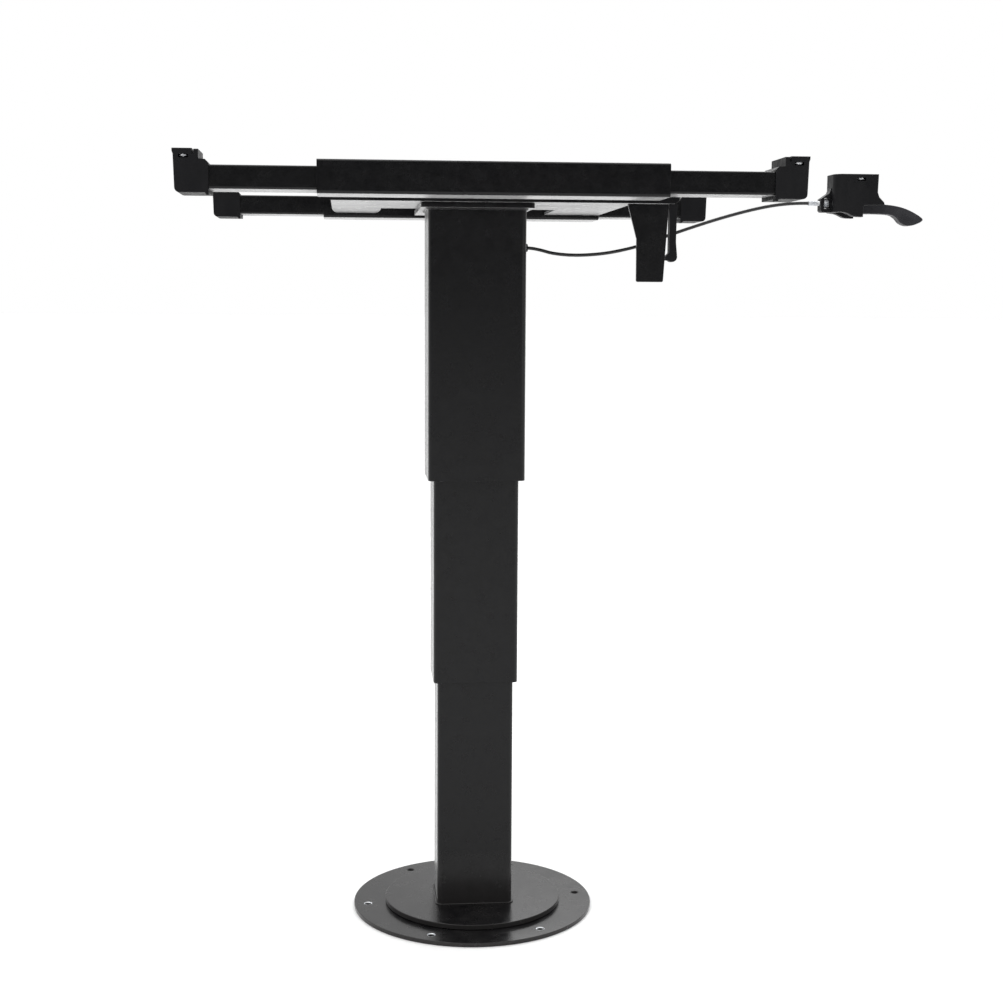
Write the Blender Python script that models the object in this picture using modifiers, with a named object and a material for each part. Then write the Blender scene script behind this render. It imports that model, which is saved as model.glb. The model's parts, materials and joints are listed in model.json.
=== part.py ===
"""Three-stage manual lifting column (a linear actuator) with a sliding top frame.

A locking gas spring stands inside three nested steel tubes.  A paddle lever under
the user's right hand pulls a Bowden cable, a rocker presses the spring's valve pin,
and the column then slides until the paddle is let go.  Two cross bars with
telescoping ends carry the table top.

Metres, +Z up.  The origin is the middle of the floor flange's underside.
The model stands at its full height, which is the rest position.
"""

import math

import bpy
import bmesh
from mathutils import Vector

# ---------------------------------------------------------------- driving sizes
GAP = 0.0003                    # clearance kept between touching pieces

FLANGE_RADIUS = 0.119
FLANGE_THICK = 0.004
FLANGE_HOLES = 6
FLANGE_HOLE_RADIUS = 0.0033
FLANGE_HOLE_CIRCLE = 0.1055     # radius of the circle that the holes lie on
FLANGE_HOLE_TURN = math.radians(4)
DISC_RADIUS = 0.0875
DISC_THICK = 0.005

TUBE_WALL = 0.002
LOWER_SIZE = (0.074, 0.062)     # outer width (X) and depth (Y) of each tube
MID_SIZE = (0.082, 0.070)
UPPER_SIZE = (0.093, 0.081)
LOWER_TOP = 0.300
MID_BOTTOM, MID_TOP = 0.2340, 0.4970
UPPER_BOTTOM, UPPER_TOP = 0.4325, 0.6902
GLIDE_HEIGHT = 0.030

HEAD_THICK = 0.0049
HEAD_HALF_WIDTH = 0.0535
HEAD_FRONT, HEAD_REAR = -0.0465, 0.110
PLATE_BOTTOM = 0.6957
PLATE_THICK = 0.003
PLATE_FRONT, PLATE_MIDDLE_REAR = -0.050, 0.080
WING_INNER = 0.088              # the plate's two rear wings start this far from the middle
LEFT_WING_OUTER = 0.1375
WING_TAPER = (0.005, 0.080)     # the left wing narrows by this much over this length
BLOCK_END, BLOCK_TOP = 0.1900, 0.7045   # the block beside the plate that carries the hanger
BLOCK_DEPTH, BLOCK_RADIUS = 0.022, 0.0055
TONGUE_BOTTOM = 0.6225

BEAM_CENTRE = 0.200             # the cross bars' centre lines, in front and behind
SLEEVE_DEPTH, SLEEVE_HEIGHT = 0.050, 0.028
SLEEVE_WALL = 0.0015
SLEEVE_HALF = 0.147
SLEEVE_MIDDLE = 0.7048
BAR_MIDDLE = 0.7035             # the inner bars lie low in their sleeves
BAR_DEPTH, BAR_HEIGHT = 0.044, 0.0195
BAR_WALL = 0.0016
BAR_RADIUS = 0.0020
BAR_INNER_END, BAR_OUTER_END = 0.035, 0.2570
RIGHT_PULL = 0.002              # the right bars are clamped this much further out than the left
LINER_LENGTH = 0.022
TOP_FACE = 0.7260               # underside of the table top
BRACKET_INNER, BRACKET_OUTER = 0.2345, 0.2638
BRACKET_HALF_DEPTH = 0.0237
BRACKET_BOTTOM = 0.6905
NIB_DEPTH = 0.008               # the nib under a bracket's inner edge is only at its front
TABLE_SCREW_X, TABLE_SCREW_Y = 0.2545, 0.016    # screw holes, the second from the bar's middle

CYLINDER_RADIUS = 0.014
CYLINDER_BORE = 0.0122
CYLINDER_BOTTOM, CYLINDER_TOP = 0.0226, 0.345
ROD_RADIUS = 0.005
ROD_NECK = 0.0037
PISTON_BOTTOM, PISTON_TOP = 0.315, 0.327

CABLE_RADIUS = 0.0016
CABLE_HEIGHT = 0.655            # where the cable goes through the upper tube's side
LEVER_Y = -0.025                # middle plane of the lever, its housing and the cable there
LEVER_PIVOT = (0.362, 0.7115)   # x and z of the paddle's pivot
LEVER_HALF = 0.006              # half the paddle's thickness at its hub
LEVER_SLOT_HALF = 0.0115
HOUSING_HALF = 0.020
ANCHOR_HALF = 0.0060            # the narrow lug that holds the cable's adjuster
LEVER_PIN_ENDS = (-0.0165, 0.0195)      # from the middle plane; the front end is hidden
ADJUSTER_HEIGHT = 0.699

ROCKER_PIVOT = (0.0085, 0.668)
RELEASE_BOTTOM = 0.640

COLLECTION = "linear_actuator"


# ---------------------------------------------------------------- scene and materials
def clear_scene():
    for obj in list(bpy.data.objects):
        bpy.data.objects.remove(obj, do_unlink=True)


def new_collection(name):
    collection = bpy.data.collections.new(name)
    bpy.context.scene.collection.children.link(collection)
    return collection


def material(name, colour, roughness, metallic=0.0):
    mat = bpy.data.materials.new(name)
    mat.use_nodes = True
    shader = mat.node_tree.nodes["Principled BSDF"]
    shader.inputs["Base Color"].default_value = (*colour, 1.0)
    shader.inputs["Roughness"].default_value = roughness
    shader.inputs["Metallic"].default_value = metallic
    return mat


clear_scene()
PARTS = new_collection(COLLECTION)
CUTTERS = new_collection("cutters")

BLACK_STEEL = material("black_powder_coat", (0.020, 0.020, 0.022), 0.45)
BLACK_PLASTIC = material("black_plastic", (0.016, 0.016, 0.018), 0.50)
LEVER_PLASTIC = material("lever_plastic", (0.060, 0.060, 0.064), 0.45)
CABLE_PLASTIC = material("cable_jacket", (0.012, 0.012, 0.013), 0.40)
ZINC = material("zinc_plated_steel", (0.62, 0.63, 0.65), 0.30, 1.0)
STEEL = material("polished_steel", (0.55, 0.56, 0.58), 0.18, 1.0)
GLIDE_PLASTIC = material("glide_plastic", (0.75, 0.74, 0.70), 0.40)
SPRING_STEEL = material("spring_steel", (0.35, 0.35, 0.37), 0.30, 1.0)


# ---------------------------------------------------------------- shape helpers
def register(obj, name, mat, smooth_angle=None):
    """Name an object, move it to the parts collection and give it its material."""
    obj.name = name
    obj.data.name = name
    for collection in list(obj.users_collection):
        collection.objects.unlink(obj)
    PARTS.objects.link(obj)
    obj.data.materials.clear()
    obj.data.materials.append(mat)
    if smooth_angle is not None and obj.type == "MESH":
        obj.data.shade_smooth()
        obj.data.set_sharp_from_angle(angle=smooth_angle)
    return obj


def box(name, low, high, mat):
    low, high = Vector(low), Vector(high)
    bpy.ops.mesh.primitive_cube_add(size=1.0, location=(low + high) / 2)
    obj = bpy.context.object
    obj.scale = high - low
    bpy.ops.object.transform_apply(location=False, rotation=False, scale=True)
    return register(obj, name, mat)


def as_cutter(obj):
    for collection in list(obj.users_collection):
        collection.objects.unlink(obj)
    CUTTERS.objects.link(obj)
    obj.hide_render = True
    obj.display_type = "WIRE"
    return obj


def box_cutter(name, low, high):
    return as_cutter(box(name, low, high, BLACK_STEEL))


def round_cutter(name, centre, radius, length, axis, sides=24):
    """A cylinder along X, Y or Z, centred on the given point."""
    turn = {"X": (0, math.pi / 2, 0), "Y": (math.pi / 2, 0, 0), "Z": (0, 0, 0)}[axis]
    bpy.ops.mesh.primitive_cylinder_add(vertices=sides, radius=radius, depth=length,
                                        location=centre, rotation=turn)
    obj = bpy.context.object
    obj.name = name
    return as_cutter(obj)


def cut(obj, cutter):
    modifier = obj.modifiers.new("cut_" + cutter.name, "BOOLEAN")
    modifier.operation = "DIFFERENCE"
    modifier.solver = "EXACT"
    modifier.object = cutter


def circle(radius, centre=(0.0, 0.0), steps=32, start=0.0):
    return [(centre[0] + radius * math.cos(start + 2 * math.pi * k / steps),
             centre[1] + radius * math.sin(start + 2 * math.pi * k / steps))
            for k in range(steps)]


def arc(centre, radius, start, end, steps):
    """Points on an arc; the angles are in degrees."""
    points = []
    for k in range(steps + 1):
        angle = math.radians(start + (end - start) * k / steps)
        points.append((centre[0] + radius * math.cos(angle),
                       centre[1] + radius * math.sin(angle)))
    return points


def rounded_rectangle(width, height, radius, centre=(0.0, 0.0), steps=5):
    points = []
    corners = ((1, 1, 0), (-1, 1, 90), (-1, -1, 180), (1, -1, 270))
    for side_x, side_y, start in corners:
        middle = (centre[0] + side_x * (width / 2 - radius),
                  centre[1] + side_y * (height / 2 - radius))
        points += arc(middle, radius, start, start + 90, steps)
    return points


def extrusion(name, outlines, start, end, mat, plane="XY"):
    """A flat outline, holes included, extruded between two world coordinates.

    The outline lies in the named plane, and the two coordinates are on the third axis.
    """
    curve = bpy.data.curves.new(name, "CURVE")
    curve.dimensions = "2D"
    curve.fill_mode = "BOTH"
    curve.extrude = abs(end - start) / 2
    for outline in outlines:
        spline = curve.splines.new("POLY")
        spline.points.add(len(outline) - 1)
        for point, (a, b) in zip(spline.points, outline):
            point.co = (a, b, 0.0, 1.0)
        spline.use_cyclic_u = True
    obj = bpy.data.objects.new(name, curve)
    bpy.context.scene.collection.objects.link(obj)
    middle = (start + end) / 2
    offset = {"XY": (0, 0, middle), "XZ": (0, middle, 0), "YZ": (middle, 0, 0)}[plane]
    turn = {"XY": (0, 0, 0), "XZ": (math.pi / 2, 0, 0),
            "YZ": (math.pi / 2, 0, math.pi / 2)}[plane]
    obj.location = offset
    obj.rotation_euler = turn
    return register(obj, name, mat)


def as_mesh(obj):
    """Turn a curve object into a welded mesh object, so that it can be cut."""
    bpy.context.view_layer.update()
    name, mat, place = obj.name, obj.data.materials[0], obj.matrix_world.copy()
    graph = bpy.context.evaluated_depsgraph_get()
    mesh = bpy.data.meshes.new_from_object(obj.evaluated_get(graph))
    bpy.data.objects.remove(obj, do_unlink=True)
    work = bmesh.new()
    work.from_mesh(mesh)
    bmesh.ops.remove_doubles(work, verts=work.verts, dist=0.00001)
    bmesh.ops.recalc_face_normals(work, faces=work.faces)
    work.to_mesh(mesh)
    work.free()
    solid = bpy.data.objects.new(name, mesh)
    bpy.context.scene.collection.objects.link(solid)
    solid.matrix_world = place
    return register(solid, name, mat, math.radians(30))


def turned(name, profile, mat, location=(0, 0, 0), axis="Z", steps=32, closed=False):
    """A profile of (radius, height) turned about the axis.

    The profile runs down the outer side.  A closed one is a ring; an open one
    starts and ends on the axis.
    """
    mesh = bpy.data.meshes.new(name)
    work = bmesh.new()
    points = [work.verts.new((radius, 0.0, height)) for radius, height in profile]
    for first, second in zip(points, points[1:]):
        work.edges.new((first, second))
    if closed:
        work.edges.new((points[-1], points[0]))
    work.to_mesh(mesh)
    work.free()
    obj = bpy.data.objects.new(name, mesh)
    bpy.context.scene.collection.objects.link(obj)
    screw = obj.modifiers.new("turn", "SCREW")
    screw.axis = "Z"
    screw.steps = steps
    screw.render_steps = steps
    screw.use_merge_vertices = True
    screw.merge_threshold = 0.00001
    screw.use_smooth_shade = True
    obj.location = location
    obj.rotation_euler = {"Z": (0, 0, 0), "X": (0, math.pi / 2, 0),
                          "Y": (-math.pi / 2, 0, 0)}[axis]
    return register(obj, name, mat)


def ring(name, inner, outer, low, high, mat, location=(0, 0, 0), axis="Z", steps=32):
    profile = [(outer, high), (outer, low), (inner, low), (inner, high)]
    return turned(name, profile, mat, location, axis, steps, closed=True)


def rod(name, radius, low, high, mat, location=(0, 0, 0), axis="Z", steps=20, edge=0.0):
    """A round bar along its axis, with chamfered ends where edge is given."""
    profile = [(0, high), (radius - edge, high), (radius, high - edge),
               (radius, low + edge), (radius - edge, low), (0, low)]
    if edge == 0.0:
        profile = [(0, high), (radius, high), (radius, low), (0, low)]
    return turned(name, profile, mat, location, axis, steps)


def smooth_route(points, spacing):
    """Points at about equal spacing on a Catmull-Rom curve through the given points."""
    points = [Vector(point) for point in points]
    ends = [2 * points[0] - points[1]] + points + [2 * points[-1] - points[-2]]
    route = []
    for a, b, c, d in zip(ends, ends[1:], ends[2:], ends[3:]):
        steps = max(1, round((c - b).length / spacing))
        for k in range(steps):
            t = k / steps
            route.append(0.5 * (2 * b + (c - a) * t + (2 * a - 5 * b + 4 * c - d) * t * t
                                + (3 * b - a - 3 * c + d) * t ** 3))
    route.append(points[-1])
    return route


def tube_along(name, points, radius, mat, resolution=2):
    curve = bpy.data.curves.new(name, "CURVE")
    curve.dimensions = "3D"
    curve.bevel_depth = radius
    curve.bevel_resolution = resolution
    curve.use_fill_caps = True
    spline = curve.splines.new("POLY")
    spline.points.add(len(points) - 1)
    for point, place in zip(spline.points, points):
        point.co = (*place, 1.0)
    obj = bpy.data.objects.new(name, curve)
    bpy.context.scene.collection.objects.link(obj)
    return register(obj, name, mat)


# ---------------------------------------------------------------- floor flange
def floor_flange():
    outlines = [circle(FLANGE_RADIUS, steps=96)]
    for k in range(FLANGE_HOLES):
        angle = FLANGE_HOLE_TURN + 2 * math.pi * k / FLANGE_HOLES
        centre = (FLANGE_HOLE_CIRCLE * math.cos(angle), FLANGE_HOLE_CIRCLE * math.sin(angle))
        outlines.append(circle(FLANGE_HOLE_RADIUS, centre, 16))
    extrusion("floor_flange", outlines, 0.0, FLANGE_THICK, BLACK_STEEL)


def base_disc():
    bottom = FLANGE_THICK + GAP
    edge = 0.0006
    turned("base_disc", [(0, bottom + DISC_THICK), (DISC_RADIUS - edge, bottom + DISC_THICK),
                         (DISC_RADIUS, bottom + DISC_THICK - edge), (DISC_RADIUS, bottom),
                         (0, bottom)], BLACK_STEEL, steps=80)


# ---------------------------------------------------------------- the three nested tubes
def tube_outlines(size, wall, radius):
    inner_radius = max(radius - wall, 0.001)
    return [rounded_rectangle(size[0], size[1], radius),
            rounded_rectangle(size[0] - 2 * wall, size[1] - 2 * wall, inner_radius)]


def column_tubes(foot):
    extrusion("lower_tube", tube_outlines(LOWER_SIZE, TUBE_WALL, 0.005), foot, LOWER_TOP, BLACK_STEEL)
    extrusion("mid_tube", tube_outlines(MID_SIZE, TUBE_WALL, 0.0055), MID_BOTTOM, MID_TOP, BLACK_STEEL)
    upper = as_mesh(extrusion("upper_tube", tube_outlines(UPPER_SIZE, TUBE_WALL, 0.006),
                              UPPER_BOTTOM, UPPER_TOP, BLACK_STEEL))
    side = UPPER_SIZE[0] / 2
    cut(upper, round_cutter("grommet_hole", (side, 0, CABLE_HEIGHT), 0.0042, 0.02, "X"))


def glide_ring(name, inside_of, outside_of, low):
    """A plastic collar that fills the clearance between two nested tubes."""
    hole = (outside_of[0] + 2 * GAP, outside_of[1] + 2 * GAP)
    outer = (inside_of[0] - 2 * TUBE_WALL - 2 * GAP, inside_of[1] - 2 * TUBE_WALL - 2 * GAP)
    outlines = [rounded_rectangle(*outer, 0.0032), rounded_rectangle(*hole, 0.0054)]
    extrusion(name, outlines, low, low + GLIDE_HEIGHT, GLIDE_PLASTIC)


def glides():
    """Four collars: each tube carries one that rubs on its neighbour.

    The pair between two tubes meets at full height, which is what stops the stage.
    """
    mid_low = MID_BOTTOM + 0.002
    glide_ring("mid_bottom_glide", MID_SIZE, LOWER_SIZE, mid_low)
    glide_ring("lower_glide", MID_SIZE, LOWER_SIZE, mid_low + GLIDE_HEIGHT + GAP)
    upper_low = UPPER_BOTTOM + 0.002
    glide_ring("upper_glide", UPPER_SIZE, MID_SIZE, upper_low)
    glide_ring("mid_top_glide", UPPER_SIZE, MID_SIZE, upper_low + GLIDE_HEIGHT + GAP)


# ---------------------------------------------------------------- locking gas spring
def gas_spring(foot):
    boss_top = CYLINDER_BOTTOM - GAP
    turned("spring_foot", [(0, boss_top), (0.0075, boss_top), (0.0075, foot + 0.004),
                           (0.012, foot + 0.004), (0.012, foot), (0, foot)], ZINC, steps=24)
    floor = CYLINDER_BOTTOM + 0.004
    turned("gas_cylinder", [(0, floor), (CYLINDER_BORE, floor), (CYLINDER_BORE, CYLINDER_TOP),
                            (CYLINDER_RADIUS, CYLINDER_TOP), (CYLINDER_RADIUS, CYLINDER_BOTTOM),
                            (0, CYLINDER_BOTTOM)], BLACK_STEEL)
    ring("rod_guide", ROD_RADIUS + GAP, CYLINDER_BORE - GAP, CYLINDER_TOP - 0.012,
         CYLINDER_TOP - 0.0005, ZINC)
    ring("piston", ROD_NECK + GAP, CYLINDER_BORE - GAP, PISTON_BOTTOM, PISTON_TOP, BLACK_PLASTIC)
    shoulder = RELEASE_BOTTOM - GAP
    top = RELEASE_BOTTOM + 0.012
    pin_hole, pin_floor = 0.0018, RELEASE_BOTTOM - 0.006
    turned("gas_rod", [(0, pin_floor), (pin_hole, pin_floor), (pin_hole, top), (ROD_NECK, top),
                       (ROD_NECK, shoulder), (ROD_RADIUS, shoulder),
                       (ROD_RADIUS, PISTON_TOP + GAP), (ROD_NECK, PISTON_TOP + GAP),
                       (ROD_NECK, PISTON_BOTTOM - 0.002), (0, PISTON_BOTTOM - 0.002)],
           STEEL, steps=24)
    rod("valve_pin", 0.0015, RELEASE_BOTTOM - 0.002, RELEASE_BOTTOM + 0.0205, STEEL, steps=16)


# ---------------------------------------------------------------- release head inside the column
def release_head():
    """A steel box on top of the gas spring, open to the left, with the rocker inside."""
    half_x, half_y, wall = 0.020, 0.0150, 0.004
    top = UPPER_TOP - GAP
    holder = box("release_bracket", (-half_x, -half_y, RELEASE_BOTTOM), (half_x, half_y, top), ZINC)
    cut(holder, box_cutter("release_room", (-half_x - 0.01, -half_y + wall, RELEASE_BOTTOM + 0.006),
                           (half_x - 0.002, half_y - wall, top - 0.003)))
    cut(holder, round_cutter("rod_hole", (0, 0, RELEASE_BOTTOM), ROD_NECK + GAP, 0.03, "Z"))
    cut(holder, round_cutter("wire_hole", (half_x, 0, CABLE_HEIGHT), 0.0012, 0.01, "X", 12))
    cut(holder, round_cutter("rocker_pin_hole", (ROCKER_PIVOT[0], 0, ROCKER_PIVOT[1]),
                             0.0020 + GAP, 0.05, "Y"))
    rod("rocker_pin", 0.0020, -0.0155, 0.0155, ZINC, (ROCKER_PIVOT[0], 0, ROCKER_PIVOT[1]), "Y", 16)
    nut_low = RELEASE_BOTTOM + 0.006 + GAP
    extrusion("rod_nut", [circle(0.0072, steps=6), circle(ROD_NECK + GAP, steps=20)],
              nut_low, nut_low + 0.0045, ZINC)


def release_rocker():
    """A bell crank: its nose lies over the valve pin and its tail takes the cable's nipple."""
    pivot_x, pivot_z = ROCKER_PIVOT
    pin_top = RELEASE_BOTTOM + 0.0205
    nose = pin_top + GAP
    outline = [(-0.0030, nose), (0.0022, nose), (0.0050, nose - 0.0005), (0.0095, CABLE_HEIGHT + 0.003),
               (0.0095, CABLE_HEIGHT - 0.003), (0.0130, CABLE_HEIGHT - 0.003)]
    outline += arc((pivot_x, pivot_z), 0.0060, -10, 130, 7)
    outline += [(-0.0030, nose + 0.004)]
    hole = circle(0.0020 + GAP, (pivot_x, pivot_z), 16)
    extrusion("release_rocker", [outline, hole], -0.003, 0.003, STEEL, "XZ")


# ---------------------------------------------------------------- top frame
def head_and_plate():
    low = UPPER_TOP + GAP
    head = rounded_rectangle(2 * HEAD_HALF_WIDTH, HEAD_REAR - HEAD_FRONT, 0.004,
                             (0, (HEAD_FRONT + HEAD_REAR) / 2))
    bolts = [(-0.034, 0.060), (0.034, 0.060)]
    holes = [circle(0.0033, place, 20) for place in bolts]
    extrusion("head_plate", [head] + holes, low, low + HEAD_THICK, BLACK_STEEL)
    rear = BEAM_CENTRE - SLEEVE_DEPTH / 2 - GAP
    plate = [(-LEFT_WING_OUTER, PLATE_FRONT), (SLEEVE_HALF, PLATE_FRONT), (SLEEVE_HALF, rear),
             (WING_INNER, rear), (WING_INNER, PLATE_MIDDLE_REAR), (-WING_INNER, PLATE_MIDDLE_REAR)]
    plate += taper(-WING_INNER - WING_TAPER[0], rear, 0)
    plate += taper(-LEFT_WING_OUTER + WING_TAPER[0], rear, 90)
    extrusion("centre_plate", [plate] + holes, PLATE_BOTTOM, PLATE_BOTTOM + PLATE_THICK, BLACK_STEEL)
    for side, place in zip(("left", "right"), bolts):
        seat = low - GAP
        turned("head_bolt_" + side,
               [(0, PLATE_BOTTOM + PLATE_THICK + 0.004), (0.003, PLATE_BOTTOM + PLATE_THICK + 0.004),
                (0.003, seat), (0.0055, seat), (0.0055, seat - 0.0035), (0.0045, seat - 0.0042),
                (0, seat - 0.0042)], ZINC, (*place, 0), steps=20)


def taper(x, rear, start):
    """A quarter of an ellipse for one rear corner of the left wing; x is its centre."""
    return [(x + WING_TAPER[0] * a, rear - WING_TAPER[1] * (1 - b))
            for a, b in arc((0.0, 0.0), 1.0, start, start + 90, 8)]


def cross_members():
    low = PLATE_BOTTOM + PLATE_THICK + GAP
    high = SLEEVE_MIDDLE + SLEEVE_HEIGHT / 2 - 0.0008
    reach = BEAM_CENTRE - SLEEVE_DEPTH / 2 - GAP
    for side, sign in (("left", -1), ("right", 1)):
        centre = (sign * 0.114, (low + high) / 2)
        outlines = [rounded_rectangle(0.030, high - low, 0.003, centre),
                    rounded_rectangle(0.027, high - low - 0.003, 0.0015, centre)]
        extrusion("cross_member_" + side, outlines, -reach, reach, BLACK_STEEL, "XZ")


def sleeve(name, y, screw_side):
    """A square tube across the frame, with a threaded hole for each clamp screw."""
    outlines = [rounded_rectangle(SLEEVE_DEPTH, SLEEVE_HEIGHT, 0.0025, (y, SLEEVE_MIDDLE)),
                rounded_rectangle(SLEEVE_DEPTH - 2 * SLEEVE_WALL, SLEEVE_HEIGHT - 2 * SLEEVE_WALL,
                                  0.0012, (y, SLEEVE_MIDDLE))]
    tube = as_mesh(extrusion(name, outlines, -SLEEVE_HALF, SLEEVE_HALF, BLACK_STEEL, "YZ"))
    for sign in (-1, 1):
        centre = (sign * 0.075, y + screw_side * SLEEVE_DEPTH / 2, SLEEVE_MIDDLE)
        cut(tube, round_cutter(f"{name}_screw_hole_{sign}", centre, 0.0030 + GAP, 0.01, "Y"))


def end_bracket(name, sign, y, pull):
    """The cap that closes a bar and carries the table top, with the bar's socket cut in it."""
    middle = BAR_MIDDLE
    half = BAR_HEIGHT / 2
    outline = [(BRACKET_OUTER, TOP_FACE), (BRACKET_OUTER, 0.7235), (0.2630, 0.7215),
               (0.2622, BRACKET_BOTTOM + 0.0040)]
    outline += arc((0.2582, BRACKET_BOTTOM + 0.0040), 0.0040, 0, -90, 4)
    outline += [(0.2376, BRACKET_BOTTOM), (0.2365, 0.6886), (BRACKET_INNER, 0.6886),
                (BRACKET_INNER, middle + half + GAP + 0.001), (0.2372, 0.7174), (0.2425, 0.7178),
                (0.2425, TOP_FACE - 0.0006), (0.2462, TOP_FACE - 0.0006), (0.2462, 0.7215),
                (0.2476, 0.7215), (0.2476, TOP_FACE)]
    outline = [(sign * (a + pull), b) for a, b in outline]
    cap = as_mesh(extrusion(name, [outline], y - BRACKET_HALF_DEPTH, y + BRACKET_HALF_DEPTH,
                            BLACK_PLASTIC, "XZ"))
    side = sorted((sign * (BRACKET_INNER - 0.01), sign * (BAR_OUTER_END + pull + GAP)))
    cut(cap, box_cutter(name + "_socket",
                        (side[0], y - BAR_DEPTH / 2 - GAP, middle - half - GAP),
                        (side[1], y + BAR_DEPTH / 2 + GAP, middle + half + GAP)))
    side = sorted((sign * (BRACKET_INNER - 0.01), sign * (0.2390 + pull)))
    cut(cap, box_cutter(name + "_nib_end", (side[0], y - BRACKET_HALF_DEPTH + NIB_DEPTH, 0.680),
                        (side[1], y + BRACKET_HALF_DEPTH + 0.01, BRACKET_BOTTOM)))
    for k in (-1, 1):
        hole = (sign * (TABLE_SCREW_X + pull), y + k * TABLE_SCREW_Y, TOP_FACE)
        cut(cap, round_cutter(f"{name}_screw_{k}", hole, 0.0023, 0.016, "Z", 16))


def cross_bar(row, y, screw_side):
    """One sleeve with its two telescoping bars, their liners, clamp screws and end brackets."""
    sleeve(row + "_sleeve", y, screw_side)
    for side, sign in (("left", -1), ("right", 1)):
        tag = row + "_" + side
        pull = RIGHT_PULL if side == "right" else 0.0
        outer = rounded_rectangle(BAR_DEPTH, BAR_HEIGHT, BAR_RADIUS, (y, BAR_MIDDLE))
        inner = rounded_rectangle(BAR_DEPTH - 2 * BAR_WALL, BAR_HEIGHT - 2 * BAR_WALL, 0.0010,
                                  (y, BAR_MIDDLE))
        ends = sorted((sign * (BAR_INNER_END + pull), sign * (BAR_OUTER_END + pull)))
        extrusion("bar_" + tag, [outer, inner], *ends, BLACK_STEEL, "YZ")
        gap = 2 * GAP
        liner = [rounded_rectangle(SLEEVE_DEPTH - 2 * SLEEVE_WALL - gap,
                                   SLEEVE_HEIGHT - 2 * SLEEVE_WALL - gap, 0.0022, (y, SLEEVE_MIDDLE)),
                 rounded_rectangle(BAR_DEPTH + gap, BAR_HEIGHT + gap, BAR_RADIUS, (y, BAR_MIDDLE))]
        ends = sorted((sign * (SLEEVE_HALF - 0.001 - LINER_LENGTH), sign * (SLEEVE_HALF - 0.001)))
        extrusion("liner_" + tag, liner, *ends, BLACK_PLASTIC, "YZ")
        clamp_screw("clamp_screw_" + tag, (sign * 0.075, y, SLEEVE_MIDDLE), screw_side)
        end_bracket("end_bracket_" + tag, sign, y, pull)


def clamp_screw(name, centre, side):
    """A screw through the sleeve's wall that presses on the bar."""
    tip = BAR_DEPTH / 2 + GAP
    seat = SLEEVE_DEPTH / 2 + 0.0010
    profile = [(0, seat + 0.005), (0.0045, seat + 0.005), (0.0052, seat + 0.0043), (0.0052, seat),
               (0.0030, seat), (0.0030, tip), (0, tip)]
    screw = turned(name, profile, ZINC, centre, "Y", 20)
    screw.rotation_euler = (-side * math.pi / 2, 0, 0)


def hanger():
    """A block beside the plate, with the tapered tongue and the strap hook that hang from it."""
    side = SLEEVE_HALF + GAP
    block = [(side, BLOCK_TOP), (side, PLATE_BOTTOM)]
    block += arc((BLOCK_END - BLOCK_RADIUS, PLATE_BOTTOM + BLOCK_RADIUS), BLOCK_RADIUS, 270, 360, 6)
    block += [(BLOCK_END, BLOCK_TOP)]
    extrusion("hanger_block", [block], PLATE_FRONT, PLATE_FRONT + BLOCK_DEPTH, BLACK_STEEL, "XZ")
    y = PLATE_FRONT + 0.0005
    top = PLATE_BOTTOM - GAP
    corner = 0.0015
    tongue = [(0.1410, top), (0.1410, 0.6935), (0.1493, 0.6627)]
    tongue += arc((0.1510, TONGUE_BOTTOM + corner), corner, 180, 270, 3)
    tongue += arc((0.1738, TONGUE_BOTTOM + corner), corner, 270, 360, 3)
    tongue += [(0.1778, 0.6627), (0.1797, top)]
    extrusion("hanger_bracket", [tongue], y, y + 0.003, BLACK_STEEL, "XZ")
    strap = [(0.1799 + GAP, top), (0.1799 + GAP, 0.6900), (0.1808, 0.6860), (0.1808, 0.6500),
             (0.1772, 0.6462), (0.1772, 0.6430)]
    strap += arc((0.1837, 0.6462), 0.0048, 225, 360, 7)
    strap += [(0.1872, 0.6600), (0.1876, 0.6900), (0.1882, top)]
    extrusion("cable_hook", [strap], y, y + 0.010, BLACK_PLASTIC, "XZ")


# ---------------------------------------------------------------- lever under the table top
def lever_housing():
    """The moulded body: a top face for the table, a slot for the paddle, a lug for the cable."""
    left = 0.3415
    outline = [(left, TOP_FACE), (left, 0.7140), (0.3395, 0.7085), (0.3315, 0.7030),
               (0.3315, 0.6920), (0.3330, 0.6905), (0.3480, 0.6902), (0.3540, 0.6888),
               (0.3600, 0.6862), (0.3690, 0.6856), (0.3695, 0.6965), (0.3900, 0.6972),
               (0.3895, 0.6995), (0.3845, 0.7045), (0.3830, 0.7090), (0.3835, TOP_FACE)]
    low_y, high_y = LEVER_Y - HOUSING_HALF, LEVER_Y + HOUSING_HALF
    body = as_mesh(extrusion("lever_housing", [outline], low_y, high_y, BLACK_PLASTIC, "XZ"))
    for side in (-1, 1):
        cut(body, housing_corner(side, left))
    cut(body, box_cutter("lever_slot", (0.3480, LEVER_Y - LEVER_SLOT_HALF, 0.680),
                         (0.4000, LEVER_Y + LEVER_SLOT_HALF, 0.7215)))
    cut(body, box_cutter("nut_window", (0.3345, low_y - 0.01, ADJUSTER_HEIGHT - 0.0052),
                         (0.3405, high_y + 0.01, ADJUSTER_HEIGHT + 0.0052)))
    cut(body, round_cutter("adjuster_bore", (0.345, LEVER_Y, ADJUSTER_HEIGHT), 0.0027, 0.04, "X", 20))
    pin_low, pin_high = LEVER_PIN_ENDS
    hole_low, hole_high = pin_low - GAP, HOUSING_HALF + 0.01
    cut(body, round_cutter("lever_pin_hole",
                           (LEVER_PIVOT[0], LEVER_Y + (hole_low + hole_high) / 2, LEVER_PIVOT[1]),
                           0.0023, hole_high - hole_low, "Y", 20))
    rod("lever_pin", 0.0020, pin_low, pin_high, ZINC, (LEVER_PIVOT[0], LEVER_Y, LEVER_PIVOT[1]), "Y",
        16)


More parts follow.
